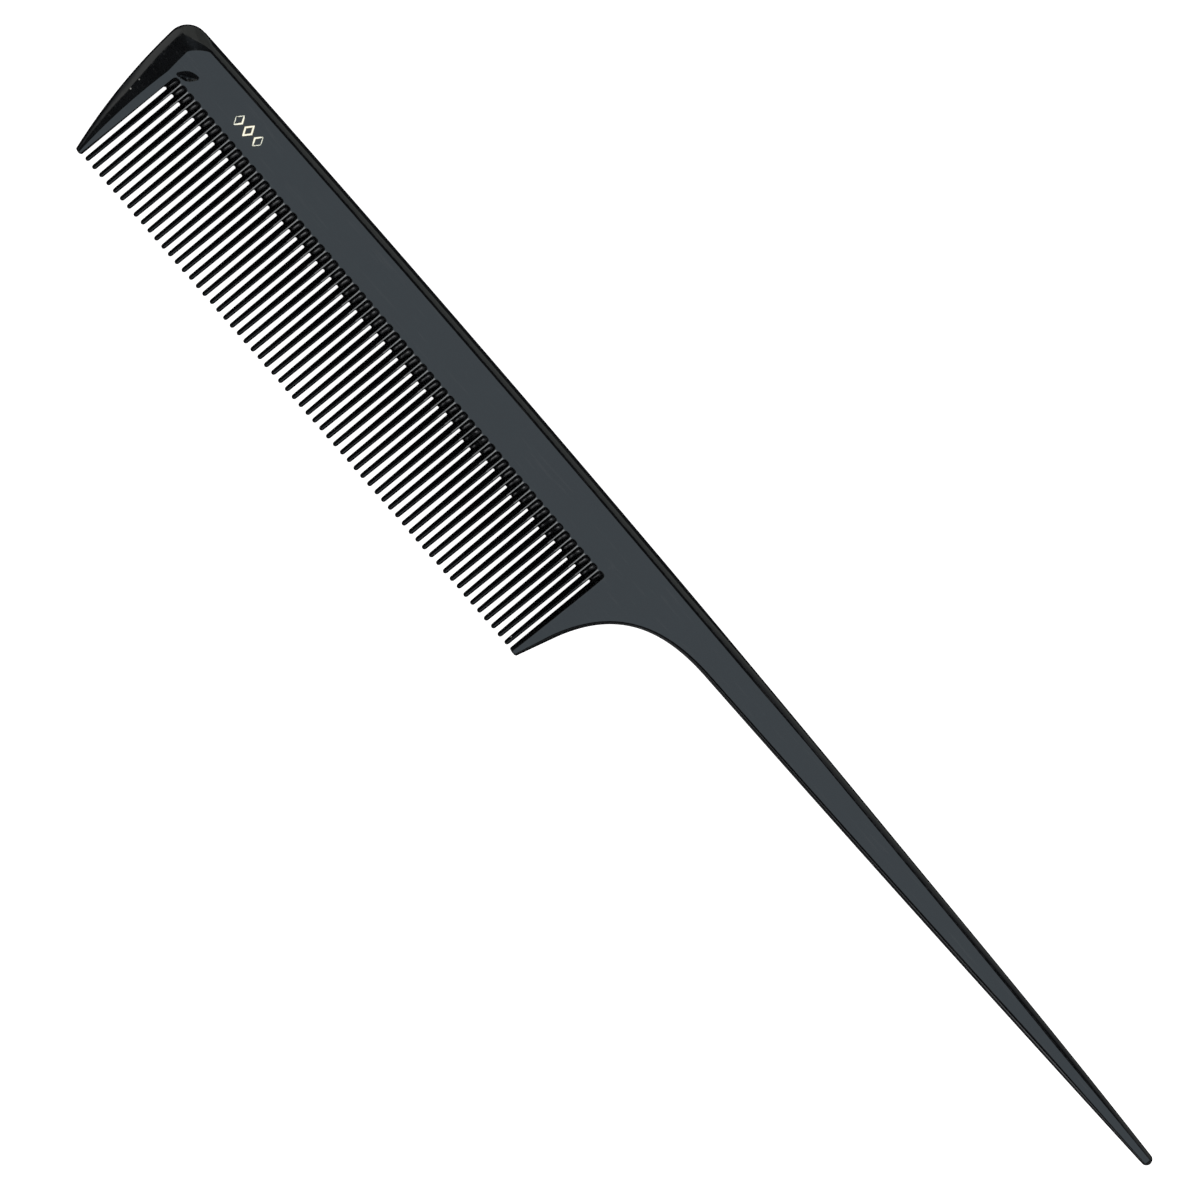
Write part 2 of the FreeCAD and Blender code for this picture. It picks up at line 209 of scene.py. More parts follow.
def make_camera():
    data = bpy.data.cameras.new("camera")
    data.sensor_width = CAMERA_SENSOR
    data.lens = CAMERA_LENS
    data.clip_start, data.clip_end = CAMERA_CLIP
    camera = bpy.data.objects.new("camera", data)
    bpy.context.scene.collection.objects.link(camera)
    flat = math.cos(CAMERA_ELEVATION)
    back = Vector((flat * math.cos(CAMERA_AZIMUTH), flat * math.sin(CAMERA_AZIMUTH),
                   math.sin(CAMERA_ELEVATION)))
    level_up = (Vector((0, 0, 1)) - back * back.z).normalized()
    level_right = level_up.cross(back)
    up = level_up * math.cos(CAMERA_ROLL) + level_right * math.sin(CAMERA_ROLL)
    right = up.cross(back)
    turn = Matrix((right, up, back)).transposed()
    place = (cad_low + cad_high) / 2 + CAMERA_AIM + back * CAMERA_DISTANCE
    camera.matrix_world = Matrix.Translation(place) @ turn.to_4x4()
    bpy.context.scene.camera = camera


make_camera()


# ---- nodes -----------------------------------------------------------------------------
class Graph:
    """Short forms for building a node tree."""

    def __init__(self, tree):
        self.tree = tree
        tree.nodes.clear()

    def node(self, kind, inputs=None, **settings):
        made = self.tree.nodes.new(kind)
        for key, value in settings.items():
            setattr(made, key, value)
        for key, value in (inputs or {}).items():
            socket = made.inputs[key]
            if isinstance(value, bpy.types.NodeSocket):
                self.tree.links.new(value, socket)
            else:
                socket.default_value = value
        return made

    def math(self, operation, a, b=0.0):
        return self.node("ShaderNodeMath", {0: a, 1: b}, operation=operation).outputs[0]

    def span(self, value, low, high, to_low=0.0, to_high=1.0, kind="SMOOTHSTEP"):
        inputs = {"Value": value, "From Min": low, "From Max": high,
                  "To Min": to_low, "To Max": to_high}
        return self.node("ShaderNodeMapRange", inputs, interpolation_type=kind).outputs[0]

    def blend(self, factor, a, b):
        inputs = {0: factor, 6: a, 7: b}
        return self.node("ShaderNodeMix", inputs, data_type="RGBA").outputs[2]

    def layer(self, factor, below, colour, blend_type):
        inputs = {0: factor, 6: below, 7: colour}
        return self.node("ShaderNodeMix", inputs, data_type="RGBA",
                         blend_type=blend_type).outputs[2]

    def noise(self, vector, scale, detail=2.0, roughness=0.5):
        inputs = {"Vector": vector, "Scale": scale, "Detail": detail, "Roughness": roughness}
        return self.node("ShaderNodeTexNoise", inputs).outputs["Fac"]

    def place(self, scale, rotation=(0, 0, 0)):
        """Object coordinates, scaled and turned."""
        here = self.node("ShaderNodeTexCoord").outputs["Object"]
        inputs = {"Vector": here, "Scale": scale, "Rotation": rotation}
        return self.node("ShaderNodeMapping", inputs).outputs[0]


# ---- light -----------------------------------------------------------------------------
# What the glossy comb mirrors: an overhead softbox, a dark ring round it, a soft glow near
# the horizon and a few side lights.
SOFTBOX = (1.07, 1.27, 1.43, 1)
SOFTBOX_ACROSS = ((-0.62, -0.42), (0.95, 0.75))     # fades of its edges, in x and y at height 1
SOFTBOX_ALONG = ((-0.66, -0.54), (0.45, 0.25))
LOWEST_HEIGHT = 0.02
DARK_RING = (0.015, 0.016, 0.018, 1)
GLOW = (0.30, 0.31, 0.33, 1)
GLOW_FADES = ((0.46, 0.34), (-0.20, -0.02))
# Each side light is (direction, inner and outer angle in degrees, colour).
SIDE_LIGHTS = (
    ((0.163, -0.950, 0.270), 4.0, 7.5, (2.6, 2.65, 2.7)),
    ((-0.93, -0.14, 0.34), 12.0, 20.0, (0.95, 0.97, 0.95)),
    ((-0.80, 0.30, 0.50), 13.0, 21.0, (0.80, 0.83, 0.79)),
    ((-0.60, 0.62, 0.47), 14.0, 20.0, (0.69, 0.72, 0.68)),
    ((-0.60, 0.70, 0.10), 26.0, 46.0, (0.50, 0.52, 0.49)),
    ((0.163, 0.93, -0.29), 16.0, 22.0, (0.45, 0.48, 0.46)),
    ((0.163, -0.66, -0.74), 18.0, 28.0, (0.15, 0.155, 0.16)),
)
ROOM = (1.05, 1.05, 1.05, 1)        # what lights the diffuse surfaces
BACKDROP = (1.0, 1.0, 1.0, 1)       # what the camera sees behind the floor

FLOOR_HALF = 3.0
FLOOR_DROP = 2e-5
FLOOR_COLOUR = (0.35, 0.35, 0.35, 1)
FLOOR_GLOW = 0.97

KEY_SIZE = (1.6, 1.0)
KEY_POWER = 6.0
KEY_PLACE = (0.28, -0.25, 1.6)


def make_world():
    world = bpy.data.worlds.new("studio")
    bpy.context.scene.world = world
    world.use_nodes = True
    world.cycles.sampling_method = "NONE"
    g = Graph(world.node_tree)
    direction = g.node("ShaderNodeTexCoord").outputs["Generated"]
    x, y, z = g.node("ShaderNodeSeparateXYZ", {0: direction}).outputs
    height = g.math("MAXIMUM", z, LOWEST_HEIGHT)
    across, along = g.math("DIVIDE", x, height), g.math("DIVIDE", y, height)
    edges = [g.span(across, *fade) for fade in SOFTBOX_ACROSS]
    edges += [g.span(along, *fade) for fade in SOFTBOX_ALONG]
    mask = edges[0]
    for edge in edges[1:]:
        mask = g.math("MULTIPLY", mask, edge)
    total = g.blend(mask, DARK_RING, SOFTBOX)
    glow = g.math("MULTIPLY", *(g.span(z, *fade) for fade in GLOW_FADES))
    total = g.layer(glow, total, GLOW, "ADD")
    for light, inner, outer, colour in SIDE_LIGHTS:
        dot = g.node("ShaderNodeVectorMath", {0: direction, 1: Vector(light).normalized()},
                     operation="DOT_PRODUCT").outputs["Value"]
        power = g.span(dot, math.cos(math.radians(outer)), math.cos(math.radians(inner)))
        total = g.layer(power, total, (*colour, 1), "LIGHTEN")
    path = g.node("ShaderNodeLightPath")
    plain = g.blend(path.outputs["Is Camera Ray"], ROOM, BACKDROP)
    seen = g.blend(path.outputs["Is Glossy Ray"], plain, total)
    background = g.node("ShaderNodeBackground", {"Color": seen, "Strength": 1.0})
    g.node("ShaderNodeOutputWorld", {"Surface": background.outputs[0]})


def make_floor():
    mesh = bpy.data.meshes.new("floor")
    corners = [(-1, -1), (1, -1), (1, 1), (-1, 1)]
    mesh.from_pydata([(x * FLOOR_HALF, y * FLOOR_HALF, cad_low.z - FLOOR_DROP)
                      for x, y in corners], [], [(0, 1, 2, 3)])
    floor = bpy.data.objects.new("floor", mesh)
    bpy.context.scene.collection.objects.link(floor)
    material = bpy.data.materials.new("floor_paper")
    material.use_nodes = True
    g = Graph(material.node_tree)
    paper = g.node("ShaderNodeBsdfDiffuse", {"Color": FLOOR_COLOUR})
    glow = g.node("ShaderNodeEmission", {"Color": (1, 1, 1, 1), "Strength": FLOOR_GLOW})
    both = g.node("ShaderNodeAddShader", {0: paper.outputs[0], 1: glow.outputs[0]})
    g.node("ShaderNodeOutputMaterial", {"Surface": both.outputs[0]})
    mesh.materials.append(material)
    floor.visible_glossy = False


def make_soft_light():
    data = bpy.data.lights.new("soft_key", "AREA")
    data.shape = "RECTANGLE"
    data.size, data.size_y = KEY_SIZE
    data.energy = KEY_POWER
    light = bpy.data.objects.new("soft_key", data)
    bpy.context.scene.collection.objects.link(light)
    light.location = KEY_PLACE
    light.rotation_euler = (-light.location).to_track_quat("-Z", "Y").to_euler()
    light.visible_camera = False
    light.visible_glossy = False


make_world()
make_floor()
make_soft_light()
bpy.context.scene.view_settings.view_transform = "Standard"
bpy.context.scene.view_settings.look = "None"


# ---- materials ---------------------------------------------------------------------------
# Each mesh's per-vertex mark is 0 where it is clean, 1 on a worn edge and 2 on a narrow land,
# which gets a painted highlight: light grey colour standing in for the light the lands catch.
PER_MM = (1000, 1000, 1000)
BLACK_DEEP = (0.0016, 0.0018, 0.0021, 1)
BLACK_PALE = (0.0032, 0.0034, 0.0037, 1)
BLACK_WORN = (0.010, 0.010, 0.011, 1)
BLACK_SCUFFED = (0.012, 0.012, 0.012, 1)
# Light grey painted highlight for the narrow lands between the slots, in place of the light they
# catch.
LAND_HIGHLIGHT_GREY = (0.165, 0.169, 0.169, 1)
DUST = (0.30, 0.30, 0.28, 1)
DUST_RARITY = 0.74          # share of the dust's cells that stay empty
BLACK_ROUGHNESS = (0.12, 0.19)
SCUFF_SCALE = (140, 2600, 2600)
SCUFF_TURN = (0, 0, 0.05)

GOLD_DEEP = (1.0, 0.84, 0.60, 1)
GOLD_PALE = (1.0, 0.91, 0.74, 1)
GOLD_EDGE = (0.74, 0.46, 0.22, 1)
GOLD_LOST = (0.02, 0.015, 0.01, 1)
GOLD_ROUGHNESS = (0.18, 0.30)


def polished_black():
    """Polish with faint mottling, fine scuffs along the comb, a light grey painted highlight on
    the lands, and dust.
    """
    material = bpy.data.materials.new("polished_black")
    material.use_nodes = True
    g = Graph(material.node_tree)
    mm = g.place(PER_MM)
    drawn = g.place(SCUFF_SCALE, SCUFF_TURN)
    smudge = g.noise(mm, 0.30, 3.0, 0.6)
    mottle = g.noise(mm, 1.7, 3.0, 0.6)
    peel = g.noise(mm, 0.9, 1.0)
    fine = g.noise(mm, 5.0, 2.0)
    lines = g.span(g.noise(drawn, 1.0, 2.0, 0.55), 0.60, 0.70)
    wear_and_highlight = g.node("ShaderNodeAttribute", attribute_name="wear_and_highlight").outputs["Fac"]
    wear_and_highlight_level = g.math("MULTIPLY", g.math("MINIMUM", wear_and_highlight, 1.0), g.span(mottle, 0.42, 0.62))
    # Painted highlight: where the mark is above 1 the lands are coloured light grey.
    painted_land_highlight = g.math("MULTIPLY", g.span(wear_and_highlight, 1.0, 2.0), g.span(fine, 0.25, 0.55, 0.55, 1.0))

    cell = g.node("ShaderNodeTexVoronoi", {"Vector": mm, "Scale": 0.21, "Randomness": 1.0})
    pick = g.node("ShaderNodeSeparateColor", {0: cell.outputs["Color"]}).outputs[0]
    chosen = g.math("GREATER_THAN", pick, DUST_RARITY)
    speck = g.math("MULTIPLY", g.span(cell.outputs["Distance"], 0.045, 0.02), chosen)

    base = g.blend(mottle, BLACK_DEEP, BLACK_PALE)
    base = g.blend(wear_and_highlight_level, base, BLACK_WORN)
    base = g.blend(g.math("MULTIPLY", lines, 0.5), base, BLACK_SCUFFED)
    base = g.blend(painted_land_highlight, base, LAND_HIGHLIGHT_GREY)
    base = g.blend(speck, base, DUST)
    rough = g.span(smudge, 0.3, 0.7, *BLACK_ROUGHNESS, "LINEAR")
    for mark, gain in ((lines, 0.05), (wear_and_highlight_level, 0.10), (speck, 0.4)):
        rough = g.math("ADD", rough, g.math("MULTIPLY", mark, gain))

    peeled = g.node("ShaderNodeBump", {"Height": peel, "Strength": 0.05, "Distance": 0.0002})
    grained = g.node("ShaderNodeBump", {"Height": fine, "Strength": 0.035, "Distance": 0.00005,
                                        "Normal": peeled.outputs[0]})
    scratched = g.node("ShaderNodeBump", {"Height": lines, "Strength": 0.04, "Distance": 0.00002,
                                          "Normal": grained.outputs[0]}, invert=True)
    shader = g.node("ShaderNodeBsdfPrincipled", {
        "Base Color": base, "Roughness": rough, "Normal": scratched.outputs[0], "IOR": 1.5})
    g.node("ShaderNodeOutputMaterial", {"Surface": shader.outputs[0]})
    return material


def stamped_gold():
    """Foil that thins at its edges and has small bare spots."""
    material = bpy.data.materials.new("stamped_gold")
    material.use_nodes = True
    g = Graph(material.node_tree)
    mm = g.place(PER_MM)
    grain = g.noise(mm, 9.0, 4.0, 0.6)
    patch = g.noise(mm, 2.2, 3.0, 0.55)
    edge = g.node("ShaderNodeAttribute", attribute_name="wear_and_highlight").outputs["Fac"]
    gold = g.blend(patch, GOLD_DEEP, GOLD_PALE)
    gold = g.blend(edge, gold, GOLD_EDGE)
    lost = g.span(g.math("ADD", grain, g.math("MULTIPLY", edge, 0.10)), 0.70, 0.76)
    colour = g.blend(lost, gold, GOLD_LOST)
    rough = g.span(grain, 0.3, 0.7, *GOLD_ROUGHNESS, "LINEAR")
    bump = g.node("ShaderNodeBump", {"Height": grain, "Strength": 0.12, "Distance": 0.00003})
    metal = g.math("SUBTRACT", 1.0, lost)
    shader = g.node("ShaderNodeBsdfPrincipled", {
        "Base Color": colour, "Metallic": metal, "Roughness": rough, "Normal": bump.outputs[0]})
    g.node("ShaderNodeOutputMaterial", {"Surface": shader.outputs[0]})
    return material


BLACK = polished_black()
GOLD = stamped_gold()

# ---- marks on the upper face ---------------------------------------------------------------
# A slanted nick beside the first slot: a leaf-shaped slope that ends in a short steep wall.
NICK_CENTRE = (-101.95, 6.69)
NICK_HALF = (1.80, 0.70)
NICK_TURN = math.radians(36)
NICK_SLOPE = 0.42
NICK_WALL = 0.12
# The place round the foil mark is pressed in a little.
PRESS_CENTRE = (-90.3, 8.1)
PRESS_HALF = (4.6, 2.6)
PRESS_DEPTH = 0.01


def nick(x, y):
    """Depth of the nick at a place on the face."""
    dx, dy = x - NICK_CENTRE[0], y - NICK_CENTRE[1]
    along = dx * math.cos(NICK_TURN) + dy * math.sin(NICK_TURN)
    across = dy * math.cos(NICK_TURN) - dx * math.sin(NICK_TURN)
    half = NICK_HALF[1] * (1 - (along / NICK_HALF[0]) ** 2)
    if half <= 0 or abs(across) >= half:
        return 0.0
    return NICK_SLOPE * (half - across) * min(1.0, (across + half) / NICK_WALL)


def dent(x, y):
    """Depth of the nick and the foil's pressed place together."""
    dx, dy = (x - PRESS_CENTRE[0]) / PRESS_HALF[0], (y - PRESS_CENTRE[1]) / PRESS_HALF[1]
    return nick(x, y) + PRESS_DEPTH * ease(1.0 - math.hypot(dx, dy))


# ---- solids from their upper surface --------------------------------------------------------
WELD = 2e-8             # metres within which points are one
SMOOTH_ANGLE = math.radians(50)


def place_piece(name, mesh, material, node):
    """Object for a mesh that stands for a CAD node."""
    mesh.materials.append(material)
    piece = bpy.data.objects.new(name, mesh)
    bpy.context.scene.collection.objects.link(piece)
    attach(piece, "root")
    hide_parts(node)


def moulding(node, *patches):
    """Closed solid for a node, mirrored in the middle plane.

    Each patch is a grid: a list of rows of (x, y, height over the middle plane, wear and
    painted-highlight mark).
    """
    name = "moulded_" + node
    bm = bmesh.new()
    wear_and_highlight = bm.verts.layers.float.new("wear_and_highlight")
    for rows in patches:
        grid = []
        for row in rows:
            line = []
            for x, y, h, wear_and_highlight_level in row:
                vert = bm.verts.new((x * MM, y * MM, (MID + h) * MM))
                vert[wear_and_highlight] = wear_and_highlight_level
                line.append(vert)
            grid.append(line)
        for low, high in zip(grid, grid[1:]):
            for a, b, c, d in zip(low, low[1:], high[1:], high):
                bm.faces.new((a, b, c, d))
    bmesh.ops.remove_doubles(bm, verts=bm.verts, dist=WELD)
    bmesh.ops.dissolve_degenerate(bm, dist=WELD, edges=bm.edges)
    middle = MID * MM
    upper_faces = list(bm.faces)
    rims = [e for e in bm.edges if len(e.link_faces) == 1]
    twin = {}       # each upper vertex and its mirror image; on the middle plane, itself
    for vert in list(bm.verts):
        if abs(vert.co.z - middle) < 10 * WELD:
            vert.co.z = middle
            twin[vert] = vert
        else:
            other = bm.verts.new((vert.co.x, vert.co.y, 2 * middle - vert.co.z))
            other[wear_and_highlight] = vert[wear_and_highlight]
            twin[vert] = other
    for face in upper_faces:
        bm.faces.new([twin[v] for v in reversed(face.verts)])
    for edge in rims:
        a, b = edge.verts
        ring = list(dict.fromkeys((a, b, twin[b], twin[a])))
        if len(ring) > 2:
            bm.faces.new(ring)
    bmesh.ops.recalc_face_normals(bm, faces=bm.faces)
    for vert in twin:
        if vert.co.z > middle:
            vert.co.z -= dent(vert.co.x / MM, vert.co.y / MM) * MM
    mesh = bpy.data.meshes.new(name)
    bm.to_mesh(mesh)
    bm.free()
    for face in mesh.polygons:
        face.use_smooth = True
    mesh.set_sharp_from_angle(angle=SMOOTH_ANGLE)
    place_piece(name, mesh, BLACK, node)


# ---- edge strips -----------------------------------------------------------------------------
RIM_INSET = 0.022        # the upright band sits this far inside the parting line
RIM_RISE = 0.05
RIM_SHARE = 0.2
FACE_ROUND = 0.05
FLANK_STEPS = 6
# From a narrow flank to one that is WIDE_GAIN wider: how the flank bulges between its foot and
# its knee, and how far the knee is rounded.
NARROW_FLANK = 0.7
WIDE_GAIN = 0.3
BULGE_IN = (0.20, 0.45)
BULGE_UP = (0.60, 0.55)
KNEE_ROUND = (0.045, 0.09)
ROUND_MOST = 0.3        # a rounded corner takes at most this share of its sides
STRIP_END_WEAR = 0.3
KNEE_WEAR = (0.0, 0.7, 1.0, 0.7, 0.0)
CREST_WEAR = (0.0, 0.5, 0.6)


def rounded(before, corner, after, size):
    """Five points that round a corner, with a support point on each side."""
    def toward(p):
        gap = math.dist(corner, p)
        reach = min(size, ROUND_MOST * gap)
        return [tuple(c + (q - c) * k * reach / gap for c, q in zip(corner, p)) for k in (2, 1)]

    left, right = toward(before), toward(after)
    middle = tuple((a + 2 * c + b) / 4 for a, c, b in zip(left[1], corner, right[1]))
    return [left[0], left[1], middle, right[1], right[0]]


def edge_profile(widths, height, fall=None):
    """Outline to face: (distance in, height, wear), ending level with the face."""
    flank, whole = widths
    wide = clamp((flank - NARROW_FLANK) / WIDE_GAIN)
    foot = (RIM_INSET, RIM_SHARE * height)
    if fall is None:
        fall = BEVEL_SLOPE * (whole - FACE_ROUND - flank)
    knee = (flank, height - fall)
    rise = knee[1] - foot[1]
    bulge = (foot[0] + mix(*BULGE_IN, wide) * (flank - RIM_INSET),
             foot[1] + mix(*BULGE_UP, wide) * rise)
    crest = (whole - FACE_ROUND, height)
    curve = []
    for t in steps(0.0, 1.0, FLANK_STEPS):
        s = 1 - t
        curve.append(tuple(s * s * a + 2 * s * t * b + t * t * c
                           for a, b, c in zip(foot, bulge, knee)))
    knee_round = rounded(curve[-2], knee, crest, mix(*KNEE_ROUND, wide))
    crest_round = rounded(knee, crest, (whole, height), FACE_ROUND)[:3]
    points = [(0.0, 0.0, STRIP_END_WEAR), (RIM_INSET, RIM_RISE, 0.0)]
    points += [(d, h, 0.0) for d, h in curve[:-1]]
    points += [(d, h, w) for (d, h), w in zip(knee_round, KNEE_WEAR)]
    points += [(d, h, w) for (d, h), w in zip(crest_round, CREST_WEAR)]
    return points + [(whole, height, STRIP_END_WEAR)]


def strip(start, inward, along, widths, height):
    """Edge strip's points from the outline inwards, laid out in the direction of along."""
    lean = inward[0] * along[0] + inward[1] * along[1]
    return [(start[0] + along[0] * d / lean, start[1] + along[1] * d / lean, h, w)
            for d, h, w in edge_profile(widths, height)]


FACE_SHARES = (0.03, 0.08, 0.15, 0.23, 0.31, 0.39, 0.47, 0.55, 0.63, 0.71, 0.79, 0.87, 0.95, 1.0)
FACE_SETTLE = 4         # the height settles within the first quarter


def run(start, end, height_at):
    """Points across the flat face from a strip's last point to end."""
    x0, y0 = start[:2]
    points = []
    for f in FACE_SHARES:
        x, y = mix(x0, end[0], f), mix(y0, end[1], f)
        points.append((x, y, mix(start[2], height_at(x, y), min(1.0, f * FACE_SETTLE)), 0.0))
    return points


# ---- slots -------------------------------------------------------------------------------------
WALL_LEVELS = (0.0, 0.08, 0.18, 0.29, 0.40, 0.50, 0.60, 0.71, 0.82, 0.92)     # shares of height
WALL_POWER = 1.25       # a tooth's flank is a flattened lens
# The land's rounded edge: (out past the land, below the face, past the slot's end, wear).
TOP_LEVELS = ((0.018, 0.060, -0.015, 0.7), (0.004, 0.022, 0.0, 1.0), (-0.015, 0.006, 0.025, 0.5))
LAND_HIGHLIGHT = 2.0            # marks the narrow lands between the slots for a painted highlight
LAND_EDGE_HIGHLIGHT = 0.8     # share of it on the lands' edges
LAND_HIGHLIGHT_END = 0.35          # share of a tooth's length where the painted highlight has faded

GULLET_SWING = 0.5      # how much a slot's sloping end swings into an S
FACE_RING_LIFT = 0.12   # the outermost ring round a slot, on the face
TROUGH_FLAT = 0.06      # half the width of the flat strip down a slot's sloping end
TOP_FLAT = 0.14
FACE_RING_FLAT = 0.20
DROP_START = 24         # slot from which the ends drop, by DROP at the last one
DROP = 0.40

CUT_SHORT = (44, 45, 51, 55, 56)    # slots with flash in their ends
CUT_SHORT_RISE = 0.15
EVEN_SLOTS = 26                     # the later slots have ragged, lower ends
EVEN_SPREAD = (-0.05, 0.07)
RAGGED_DROP = 0.05
RAGGED_SPREAD = 0.45
RAGGED_POWER = 1.5


def wall(half, land, height):
    """Tooth's flank from the middle plane to its centre line: (half width, height, wear and
    painted-highlight mark).
    """
    shoulder = land + TOP_LEVELS[0][0]
    points = [(mix(half, shoulder, k ** WALL_POWER), k * height, 0.0) for k in WALL_LEVELS]
    points += [(land + out, height - drop * height / MID, wear_and_highlight_level)
               for out, drop, _, wear_and_highlight_level in TOP_LEVELS]
    return points + [(0.0, height, LAND_HIGHLIGHT)]


def slot_drop(slot):
    """The slots end a little lower towards the tail."""
    return DROP * max(0, slot - DROP_START) / (TEETH - DROP_START)


def gullet_ends(mid_y, slot):
    """Where each level of a slot ends, with half the width of its straight end."""
    face_y = GULLET_FACE_Y - slot_drop(slot)
    ends = []
    for k in WALL_LEVELS:
        share = k - GULLET_SWING * math.sin(2 * math.pi * k) / (2 * math.pi)
        ends.append((mix(mid_y, face_y, share), TROUGH_FLAT))
    for _, _, lift, _ in TOP_LEVELS:
        ends.append((face_y + lift, TOP_FLAT))
    ends.append((face_y + FACE_RING_LIFT, FACE_RING_FLAT))
    return ends


def gap_half(slot):
    """Half the slot's width on the middle plane; the slots narrow towards the tail."""
    return HALF_PITCH - mix(*TOOTH_HALF_ROOT, slot / TEETH)


def slot_levels(slot, height):
    """Levels of a slot's wall at its upper end and at the root plane: (half width there and
    here, height, wear and painted-highlight mark), from the middle plane to the face."""
    half = HALF_PITCH - gap_half(slot)
    tops, roots = wall(half, LAND_TOP, height), wall(half, LAND_ROOT, height)
    return [(HALF_PITCH - a[0], HALF_PITCH - b[0], b[1], b[2]) for a, b in zip(tops, roots)]


def knife_y(slot):
    """Where a slot ends on the middle plane: even at first, ragged towards the tail."""
    y = GULLET_MID_Y - slot_drop(slot)
    if slot in CUT_SHORT:
        return ROOT_Y + CUT_SHORT_RISE
    if slot in (0, TEETH):
        return y
    if slot < EVEN_SLOTS:
        return y + random.uniform(*EVEN_SPREAD)
    return y - RAGGED_DROP - RAGGED_SPREAD * random.random() ** RAGGED_POWER


KNIFE_YS = [knife_y(i) for i in range(TEETH + 1)]
TINY = 1e-9


def level_x(y, top_half, root_half, end_y, flat):
    """Distance of a slot level from the slot's centre line at y, or 0 past its end."""
    radius = top_half - flat
    if y >= end_y + TINY:
        return 0.0
    rise = y - (end_y - radius)
    if rise <= 0:
        return mix(top_half, root_half, clamp(rise / (ROOT_Y - (end_y - radius))))
    return flat + math.sqrt(max(0.0, radius * radius - rise * rise))


def trough_height(y, ends, heights):
    """Height of the slot's sloping end on its centre line."""
    for (y0, _), (y1, _), h0, h1 in zip(ends, ends[1:], heights, heights[1:]):
        if y <= y1:
            return mix(h0, h1, clamp((y - y0) / (y1 - y0)))
    return heights[-1]


def guard_wall(slot, side, y, height):
    """A guard's side of a slot, from the face down; side is -1 or 1."""
    x = FIRST_SLOT_X + slot * PITCH
    ends = gullet_ends(KNIFE_YS[slot], slot)
    levels = slot_levels(slot, height)
    centre = trough_height(y, ends, [h for _, _, h, _ in levels])
    points = []
    for (top_half, root_half, h, wear_and_highlight_level), (end_y, flat) in reversed(list(zip(levels, ends))):
        away = level_x(y, top_half, root_half, end_y, flat)
        points.append((x + side * away, y, h if away > 0 else centre, min(wear_and_highlight_level, 1.0)))
    return points


# ---- guards, heel and neck ---------------------------------------------------------------------
# Numbers of rows, from the teeth towards the back or round the outline.  Neighbouring pieces
# share the stations on their seams.
FRONT_STEPS = (40, 5, 30)
REAR_STEPS = (14, 20)
HEEL_STEPS = (5, 4, 24)
NECK_STEPS = 60
BLUNT_ANGLES = (90, 75, 60, 45, 30, 15)


def guard_height(y):
    """Height of a guard's face over the middle plane."""
    return toothward(y, GUARD_TIP_HALF_THICKNESS)


def blunt_tip(chain, inner_x):
    """Rounds off a guard's end below its last full section."""
    rows = []
    outer_x = chain[0][0]
    centre = (outer_x + inner_x) / 2
    half = abs(inner_x - outer_x) / 2
    top = max(p[2] for p in chain)
    reach = chain[0][1] - TIP_Y
    for a in map(math.radians, BLUNT_ANGLES):
        cut = reach * (1 - math.cos(a))
        rows.append([(centre + (x - centre) * (half - cut) / half, y - reach * math.sin(a),
                      h * (top - cut) / top, w) for x, y, h, w in chain])
    return rows


def bands(*spans):
    """Stations through several spans of (start, end, count), without the last span's end."""
    values = []
    for a, b, count in spans:
        values += steps(a, b, count)[:-1]
    return values


def side_widths(y):
    """Flank and whole strip of the front guard's outer edge."""
    f = clamp((y - TIP_Y) / (GUARD_STRIP_TOP_Y - TIP_Y))
    return (mix(GUARD_TIP_STRIP[0], GUARD_STRIP[0], clamp(f * GUARD_FLANK_GAIN)),
            mix(GUARD_TIP_STRIP[1], GUARD_STRIP[1], f))


KNEE_CORNER = (1.05, 2.60)      # where the knee turns, from the front edge and from the back
KNEE_TURN_AT = 0.2              # share of the way round the outline
KNEE_REACH = ((1.40, 0.20), (2.12, 0.19))       # from its ends to its curve's control points
CREST_REACH = ((0.02, 0.50), (0.65, 0.12))
CORNER_STEPS = 34
CORNER_BACK_STEPS = 14
CREST_STEPS = 80
INNER_POWER = 1.6               # how the rows' inner ends move up to the seam


